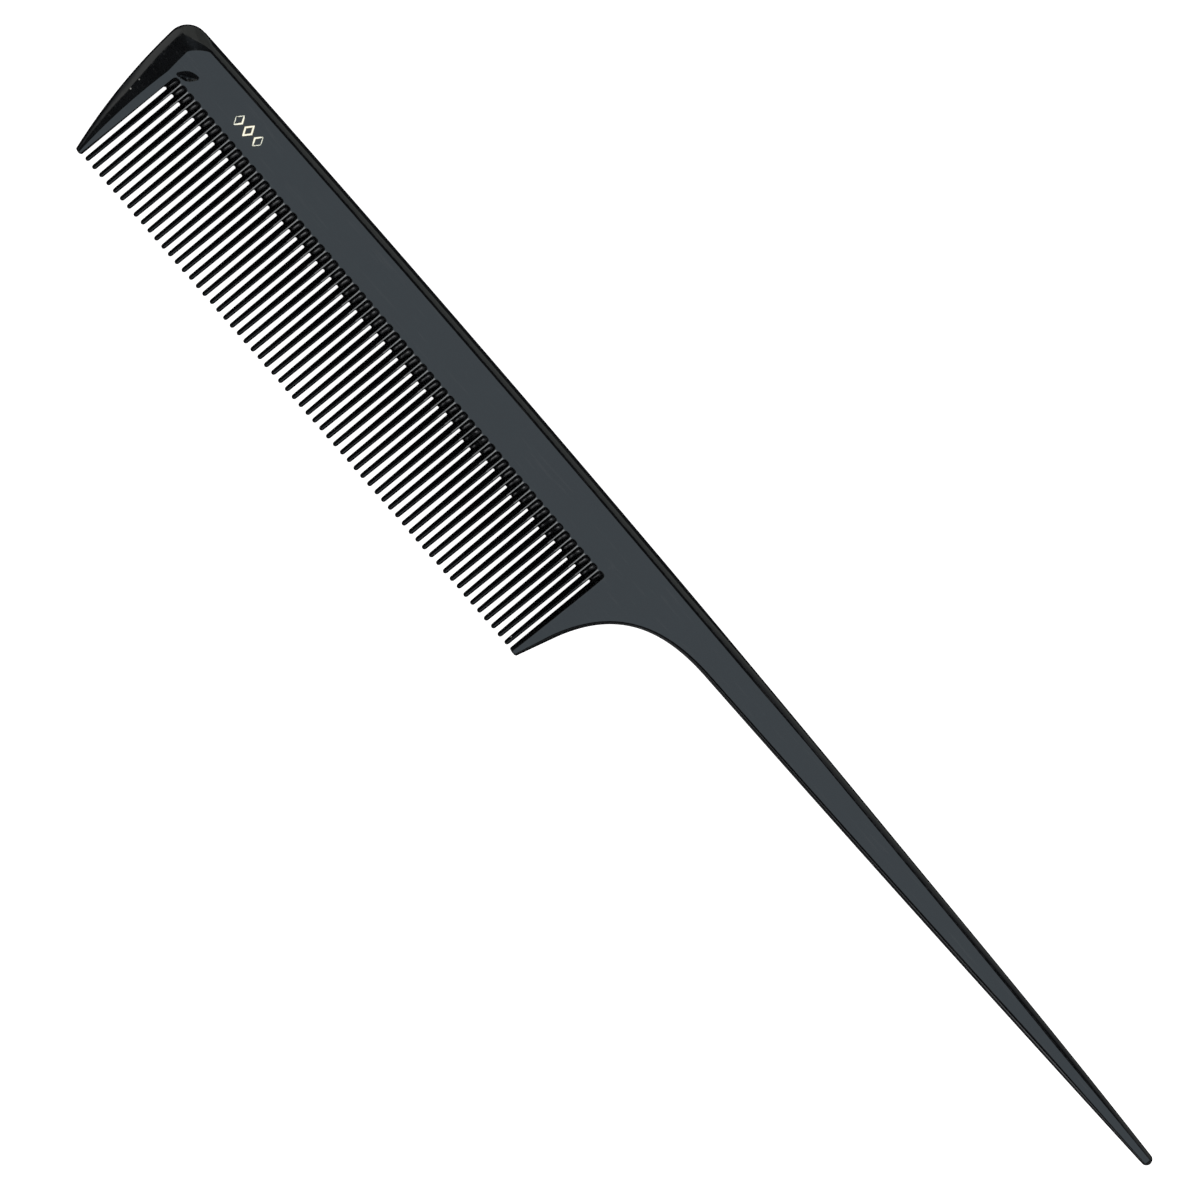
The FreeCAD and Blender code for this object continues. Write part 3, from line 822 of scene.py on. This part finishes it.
def corner_rows(corner, edge_top_y, knee_x, crest_x):
    """Rows round the front corner and along the back to the first slot."""
    turn = math.pi / 2 + FRONT_EDGE_LEAN
    arc = FRONT_CORNER_RADIUS * turn
    straight = FIRST_SLOT_X - corner[0]
    outline = []
    for f in steps(0.0, 1.0, CORNER_STEPS)[1:]:
        angle = math.pi + FRONT_EDGE_LEAN - turn * f
        place = (corner[0] + FRONT_CORNER_RADIUS * math.cos(angle),
                 corner[1] + FRONT_CORNER_RADIUS * math.sin(angle))
        outline.append((place, arc * f))
    for f in steps(0.0, 1.0, CORNER_BACK_STEPS)[1:]:
        x = corner[0] + straight * f
        outline.append(((x, back_y(x)), arc + straight * f))

    def reaching(start, reach, end):
        (x0, y0), (x1, y1) = start, end
        (dx0, dy0), (dx1, dy1) = reach
        return start, (x0 + dx0, y0 + dy0), (x1 - dx1, y1 - dy1), end

    seam = seam_y(FIRST_SLOT_X)
    turn_at = (FRONT_X + KNEE_CORNER[0], TOP_Y - KNEE_CORNER[1])
    knee_end = (FIRST_SLOT_X, back_y(FIRST_SLOT_X) - BACK_STRIP[0])
    knee_curve = reaching(turn_at, KNEE_REACH, knee_end)
    crest_curve = reaching((crest_x, edge_top_y), CREST_REACH, (FIRST_SLOT_X, seam))
    crest_line = [cubic(crest_curve, t) for t in steps(0.0, 1.0, CREST_STEPS)]
    rows = []
    for place, distance in outline:
        f = distance / (arc + straight)
        if f < KNEE_TURN_AT:
            to_turn = f / KNEE_TURN_AT
            knee = (mix(knee_x, turn_at[0], to_turn), mix(edge_top_y, turn_at[1], to_turn))
        else:
            knee = cubic(knee_curve, (f - KNEE_TURN_AT) / (1 - KNEE_TURN_AT))
        crest = cubic(crest_curve, f)
        fall = BEVEL_SLOPE * (min(math.dist(knee, c) for c in crest_line) - FACE_ROUND)
        flank = math.dist(place, knee)
        whole = flank + math.dist(knee, crest)
        chain = []
        for d, h, w in edge_profile((flank, whole), MID, fall):
            if d <= flank:
                a, b, share = place, knee, d / flank
            else:
                a, b, share = knee, crest, (d - flank) / (whole - flank)
            chain.append((mix(a[0], b[0], share), mix(a[1], b[1], share), h, w))
        inner_end = (FIRST_SLOT_X, mix(edge_top_y, seam, f ** INNER_POWER))
        rows.append(chain + run(chain[-1], inner_end, lambda *_: MID))
    return rows


def front_end_guard():
    corner = (FRONT_X + FRONT_CORNER_RADIUS, back_y(FRONT_X) - FRONT_CORNER_RADIUS)
    edge_top_y = corner[1] - FRONT_CORNER_RADIUS * math.sin(FRONT_EDGE_LEAN)
    reach = FRONT_EDGE_RADIUS - FRONT_CORNER_RADIUS
    centre_x = corner[0] + reach * math.cos(FRONT_EDGE_LEAN)
    centre_y = corner[1] + reach * math.sin(FRONT_EDGE_LEAN)

    def edge(y):
        x = centre_x - math.sqrt(FRONT_EDGE_RADIUS ** 2 - (y - centre_y) ** 2)
        return (x, y), unit(centre_x - x, centre_y - y)

    def row(y):
        place, inward = edge(y)
        height = guard_height(y)
        chain = strip(place, inward, (1.0, 0.0), side_widths(y), height)
        slot = guard_wall(0, -1, y, height)
        return chain + run(chain[-1], slot[0], lambda *_: height) + slot[1:]

    ends = [y for y, _ in gullet_ends(KNIFE_YS[0], 0)]
    tooth, root, face = FRONT_STEPS
    ys = bands((TIP_Y + GUARD_CUT, ROOT_Y, tooth), (ROOT_Y, ends[0], root)) + ends
    ys += steps(ends[-1], edge_top_y, face)[1:]
    rows = [row(y) for y in ys]
    rows = blunt_tip(rows[0], FIRST_SLOT_X - gap_half(0)) + rows
    place, inward = edge(edge_top_y)
    knee_x, crest_x = (place[0] + w / inward[0] for w in side_widths(edge_top_y))
    columns = len(rows[-1])
    for chain in corner_rows(corner, edge_top_y, knee_x, crest_x):
        rows.append(chain + [chain[-1]] * (columns - len(chain)))
    moulding("front_end_guard", rows)


KNEE_FADE = 3.0         # over this height the rows' inner ends move back to the web's end
HEEL_TIP_SHARE = 0.6    # share of the heel's strip at the rear guard's tip
HEEL_STRIP_GROWS = 6.0


def heel_field(x, y):
    """Height of the face from the rear guard round to the neck."""
    return min(guard_height(y), half_thickness(x))


def rear_rows(outline):
    """Rows from the outline across the face and down the last slot's wall."""
    rows = []
    for (a, inward), widths, slot_y in outline:
        slot = guard_wall(TEETH, 1, slot_y, guard_height(slot_y))
        above = ease((slot_y - GULLET_FACE_Y - FACE_RING_LIFT) / KNEE_FADE)
        knee = (LAST_SLOT_X + HALF_PITCH * (1 - above), slot_y)
        chain = strip(a, inward, unit(knee[0] - a[0], knee[1] - a[1]), widths, heel_field(*a))
        chain += run(chain[-1], knee, heel_field)
        rows.append(chain[:-1] + slot)
    return rows


def rear_end_guard():
    tangent = unit(HEEL_BEND[0] - HEEL_TIP_X, HEEL_BEND[1] - TIP_Y)
    inward = (-tangent[1], tangent[0])
    first = GUARD_CUT / (HEEL_BEND[1] - TIP_Y)
    outline = []
    for f in steps(first, 1.0, REAR_STEPS[0])[:-1]:
        a = (mix(HEEL_TIP_X, HEEL_BEND[0], f), mix(TIP_Y, HEEL_BEND[1], f))
        outline.append((a, inward))
    outline += [heel_curve(t) for t in steps(0.0, GUARD_END_T, REAR_STEPS[1])]
    full = []
    for a, normal in outline:
        grow = clamp((a[1] - TIP_Y) / HEEL_STRIP_GROWS)
        widths = tuple(mix(HEEL_TIP_SHARE * w, w, grow) for w in HEEL_STRIP)
        full.append(((a, normal), widths, a[1]))
    rows = rear_rows(full)
    rows = blunt_tip(rows[0], LAST_SLOT_X + gap_half(TEETH)) + rows
    moulding("rear_end_guard", rows)


def heel():
    low, high = heel_curve(GUARD_END_T)[0][1], seam_y(LAST_SLOT_X)
    ends = [y for y, _ in gullet_ends(KNIFE_YS[TEETH], TEETH)]
    tooth, root, face = HEEL_STEPS
    ys = bands((low, ROOT_Y, tooth), (ROOT_Y, ends[0], root)) + ends
    ys += steps(ends[-1], high, face)[1:]
    outline = []
    for y in ys:
        t = mix(GUARD_END_T, HEEL_END_T, (y - low) / (high - low))
        outline.append((heel_curve(t), HEEL_STRIP, y))
    moulding("heel", rear_rows(outline))


def neck():
    rows = []
    for f in steps(0.0, 1.0, NECK_STEPS):
        t = mix(HEEL_END_T, 1.0, f)
        x = mix(LAST_SLOT_X, NECK_END[0], f)
        a, inward = heel_curve(t)
        b = (x, seam_y(x))
        widths = tuple(mix(h, w, f) for h, w in zip(HEEL_STRIP, TAIL_STRIP))
        chain = strip(a, inward, unit(b[0] - a[0], b[1] - a[1]), widths, heel_field(*a))
        rows.append(chain + run(chain[-1], b, heel_field))
    moulding("neck", rows)


# ---- back and tail -----------------------------------------------------------------------------
TAIL_STRIP_SHARES = (0.36, 0.58)     # of the tail's half width, where it gets narrow
TAIL_BACK_KNEE = 0.76
TAIL_BACK_FADE = 20.0                # over this length the back's strip becomes the tail's
TAIL_FACE_SHARES = (0.03, 0.15, 0.4, 0.6, 0.85, 0.97)
BEAD_STEPS = 90
SHAFT_STEPS = 110
TIP_STEPS = (16, 9)


def back_bead():
    end_x = NECK_END[0]
    xs = bands((FIRST_SLOT_X, LAST_SLOT_X, BEAD_STEPS), (LAST_SLOT_X, end_x, NECK_STEPS))
    rows = []
    for x in xs + [end_x]:
        rows.append(strip((x, back_y(x)), (0, -1), (0, -1), BACK_STRIP, half_thickness(x)))
    moulding("back_bead", rows)


def tail_row(x, share=1.0):
    """Section of the tail at x, or at the tip's rounding a share of it."""
    low, high = tail_lower_y(x), back_y(x)
    middle, half = (low + high) / 2, (high - low) / 2 * share
    height = half_thickness(x) * share
    near = ease((x - NECK_END[0]) / TAIL_BACK_FADE)
    lower = tuple(min(w, s * half) for w, s in zip(TAIL_STRIP, TAIL_STRIP_SHARES))
    back_end = (lower[1] * TAIL_BACK_KNEE, lower[1])
    back = tuple(mix(b, w, near) for b, w in zip(BACK_STRIP, back_end))
    up = strip((x, middle - half), (0, 1), (0, 1), lower, height)
    down = strip((x, middle + half), (0, -1), (0, -1), back, height)
    face = [(x, mix(up[-1][1], down[-1][1], f), height, 0.0) for f in TAIL_FACE_SHARES]
    return up + face + down[::-1]


def tail_shaft():
    rows = [tail_row(x) for x in steps(NECK_END[0], TIP_PIECE_X, SHAFT_STEPS)]
    moulding("tail_shaft", rows)


def tail_tip():
    round_x = TAIL_END_X - TIP_ROUND
    rows = [tail_row(x) for x in steps(TIP_PIECE_X, round_x, TIP_STEPS[0])[:-1]]
    for angle in steps(0.0, math.pi / 2, TIP_STEPS[1])[:-1]:
        rows.append(tail_row(round_x + TIP_ROUND * math.sin(angle), math.cos(angle)))
    rows.append(tail_row(TAIL_END_X, TIP_FLAT_SHARE))
    moulding("tail_tip", rows)


# ---- blade -------------------------------------------------------------------------------------
# An arch is half of a slot's outline: a flat, an arc and a leg down to the root plane.
FLAT_STEPS = 2
ARC_ANGLES = (0, 4, 12, 26, 42, 58, 74, 90)
ARC_END = FLAT_STEPS + len(ARC_ANGLES) - 1
LEG_STEPS = 6
LAND_HIGHLIGHT_ANGLES = (40, 66)    # where on the arc the lands' painted highlight sets in

PANEL_Y = (6.4, 8.4)     # heights where the panel's columns are upright and where they get sparse
PANEL_STEPS = (6, 16, 7)
PANEL_COLUMNS = 5        # on each side of a slot


def arch(top_half, root_half, end_y, flat):
    """Half of a slot level's outline, from its centre line round and down to the root plane."""
    radius = top_half - flat
    points = [(mix(0.0, flat, i / FLAT_STEPS), end_y) for i in range(FLAT_STEPS)]
    for a in map(math.radians, ARC_ANGLES):
        points.append((flat + radius * math.sin(a), end_y - radius * (1 - math.cos(a))))
    legs = zip(steps(top_half, root_half, LEG_STEPS), steps(end_y - radius, ROOT_Y, LEG_STEPS))
    return points + list(legs)[1:]


def arch_highlight(i):
    """Painted-highlight mark of a land at the arch's point i."""
    arc = i - FLAT_STEPS
    if arc < 0:
        return 0.0
    angle = ARC_ANGLES[min(arc, len(ARC_ANGLES) - 1)]
    return LAND_HIGHLIGHT * clamp((angle - LAND_HIGHLIGHT_ANGLES[0]) / (LAND_HIGHLIGHT_ANGLES[1] - LAND_HIGHLIGHT_ANGLES[0]))


def junction_y(slot):
    """Where the face ring of a slot reaches the middle of the land beside it."""
    return GULLET_FACE_Y - slot_drop(slot) + FACE_RING_LIFT - (HALF_PITCH - FACE_RING_FLAT)


def slot_rings(slot):
    """A slot's levels as half outlines, from the middle plane up: (aside, y, height, wear and
    painted-highlight mark).
    """
    rings = []
    ends = gullet_ends(KNIFE_YS[slot], slot)
    for (top_half, root_half, h, wear_and_highlight_level), (end_y, flat) in zip(slot_levels(slot, MID), ends):
        share = h / MID
        ring = []
        for i, (s, y) in enumerate(arch(top_half, root_half, end_y, flat)):
            if wear_and_highlight_level == LAND_HIGHLIGHT:
                w = arch_highlight(i)
            else:
                w = max(wear_and_highlight_level, LAND_EDGE_HIGHLIGHT * arch_highlight(i)) if wear_and_highlight_level else wear_and_highlight_level
            ring.append((s, y, share * toothward(y, TIP_HALF_THICKNESS), w))
        rings.append(ring)
    return rings


def panel(x, side, face_edge):
    """Flat face from a slot's end up to the back's seam: columns of points."""
    low_y, high_y = PANEL_Y
    low_steps, middle_steps, high_steps = PANEL_STEPS
    columns = []
    for i, (s, y, _, w) in enumerate(face_edge):
        low_s = HALF_PITCH * round(PANEL_COLUMNS * i / (len(face_edge) - 1)) / PANEL_COLUMNS
        column = []
        for f in steps(0.0, 1.0, low_steps):
            column.append((x + side * mix(s, low_s, f), mix(y, low_y, f), MID, 0.0 if f else w))
        top_x = column[-1][0]
        top_y = seam_y(top_x)
        for y in bands((low_y, high_y, middle_steps), (high_y, top_y, high_steps))[1:] + [top_y]:
            column.append((top_x, y, MID, 0.0))
        columns.append(column)
    return columns


def blade_web():
    patches = []
    for slot in range(TEETH + 1):
        x = FIRST_SLOT_X + slot * PITCH
        rings = slot_rings(slot)
        for side in (-1, 1):
            if (slot == 0 and side < 0) or (slot == TEETH and side > 0):
                continue
            join = (junction_y(slot) + junction_y(slot + side)) / 2
            face_ring = rings[-1][:ARC_END]
            # The land between two slot ends is marked for the painted highlight down to the root
            # plane.
            for y in steps(join, ROOT_Y, LEG_STEPS):
                face_ring.append((HALF_PITCH, y, toothward(y, TIP_HALF_THICKNESS), LAND_HIGHLIGHT))
            patches.append([[(x + side * s, y, h, w) for s, y, h, w in ring]
                            for ring in rings[:-1] + [face_ring]])
            patches.append(panel(x, side, face_ring[:ARC_END + 1]))
    moulding("blade_web", *patches)


# ---- teeth -------------------------------------------------------------------------------------
TOOTH_STEPS = 22
TOOTH_ROUND = 0.42
TOOTH_ROUND_ANGLES = (18, 36, 54, 70, 82, 90)
TOOTH_ROUND_SHRINK = 0.80       # share of the section that is gone at the very tip
BEND_SPREAD, BEND_MOST, BEND_POWER = 0.03, 0.07, 1.4
SHORT_SPREAD, SHORT_MOST = 0.04, 0.12


def tooth_rows(number):
    """Sections of one tooth, which bends aside and ends short by a trace."""
    x = FIRST_SLOT_X + (number - 0.5) * PITCH
    along = (number - 1) / (TEETH - 1)
    half_root, half_tip = mix(*TOOTH_HALF_ROOT, along), mix(*TOOTH_HALF_TIP, along)
    bend = max(-BEND_MOST, min(BEND_MOST, random.gauss(0.0, BEND_SPREAD)))
    tip_y = TIP_Y + min(SHORT_MOST, abs(random.gauss(0.0, SHORT_SPREAD)))

    def row(y, share=1.0, beyond=0.0):
        f = (ROOT_Y - y) / (ROOT_Y - TIP_Y)
        half = mix(half_root, half_tip, f) * share
        land = mix(LAND_ROOT, LAND_TIP, clamp(f * LAND_TAPER)) * share
        height = toothward(y, TIP_HALF_THICKNESS) * share
        centre = x + bend * f ** BEND_POWER
        # The lands' painted highlight fades along the tooth.
        land_highlight = mix(LAND_HIGHLIGHT, 0.0, clamp(f / LAND_HIGHLIGHT_END))
        levels = wall(half, land, height)
        left = [(centre - w, y - beyond, h, min(wear_and_highlight_level, land_highlight)) for w, h, wear_and_highlight_level in levels]
        right = [(centre + w, y - beyond, h, min(wear_and_highlight_level, land_highlight)) for w, h, wear_and_highlight_level in levels[-2::-1]]
        return left + right

    last = tip_y + TOOTH_ROUND
    rows = [row(y) for y in steps(ROOT_Y, last, TOOTH_STEPS)]
    for a in map(math.radians, TOOTH_ROUND_ANGLES):
        share = 1 - TOOTH_ROUND_SHRINK * (1 - math.cos(a))
        rows.append(row(last, share, TOOTH_ROUND * math.sin(a)))
    return rows


def teeth():
    for first in range(1, TEETH + 1, 2):
        moulding("teeth_%02d_%02d" % (first, first + 1), tooth_rows(first), tooth_rows(first + 1))


# ---- foil --------------------------------------------------------------------------------------
FOIL_STROKE = 0.32
FOIL_SIDE_STEPS = 10
FOIL_OUTER = 0.985                  # share of the CAD lozenge
FOIL_SPREAD = (0.015, 0.02)         # how ragged the outer and the inner edge are
# Section of the stroke: (share of the way inwards, height over the face, wear).
FOIL_SECTION = ((0.0, -0.030, 1.0), (0.0, -0.011, 1.0), (0.10, -0.006, 0.7), (0.25, -0.004, 0.2),
                (0.5, -0.003, 0.0), (0.75, -0.004, 0.2), (0.90, -0.006, 0.7), (1.0, -0.011, 1.0),
                (1.0, -0.030, 1.0))


def foil_lozenges():
    """Thin stamped lozenges, open in the middle: loops of points, side by side on the stroke."""
    corners = [(1, 0), (0, 1), (-1, 0), (0, -1)]
    for index in range(1, 4):
        node = "foil_lozenge_%d" % index
        low, high = (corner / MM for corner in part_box(node))
        centre, half = (low + high) / 2, (high - low) / 2
        inner = 1 - FOIL_STROKE * math.hypot(half.x, half.y) / (half.x * half.y)
        bm = bmesh.new()
        wear_and_highlight = bm.verts.layers.float.new("wear_and_highlight")
        loops = [[] for _ in FOIL_SECTION]
        for (ax, ay), (bx, by) in zip(corners, corners[1:] + corners[:1]):
            for f in steps(0.0, 1.0, FOIL_SIDE_STEPS)[:-1]:
                outer_size, inner_size = (
                    size + random.uniform(-spread, spread)
                    for size, spread in zip((FOIL_OUTER, inner), FOIL_SPREAD))
                for loop, (share, drop, wear_and_highlight_level) in zip(loops, FOIL_SECTION):
                    size = mix(outer_size, inner_size, share)
                    vert = bm.verts.new(((centre.x + half.x * mix(ax, bx, f) * size) * MM,
                                         (centre.y + half.y * mix(ay, by, f) * size) * MM,
                                         (THICKNESS + drop) * MM))
                    vert[wear_and_highlight] = wear_and_highlight_level
                    loop.append(vert)
        for a, b in zip(loops, loops[1:] + loops[:1]):
            for i in range(len(a)):
                j = (i + 1) % len(a)
                bm.faces.new((a[i], a[j], b[j], b[i]))
        bmesh.ops.recalc_face_normals(bm, faces=bm.faces)
        mesh = bpy.data.meshes.new("stamped_" + node)
        bm.to_mesh(mesh)
        bm.free()
        place_piece("stamped_" + node, mesh, GOLD, node)


blade_web()
back_bead()
front_end_guard()
rear_end_guard()
heel()
neck()
tail_shaft()
tail_tip()
teeth()
foil_lozenges()
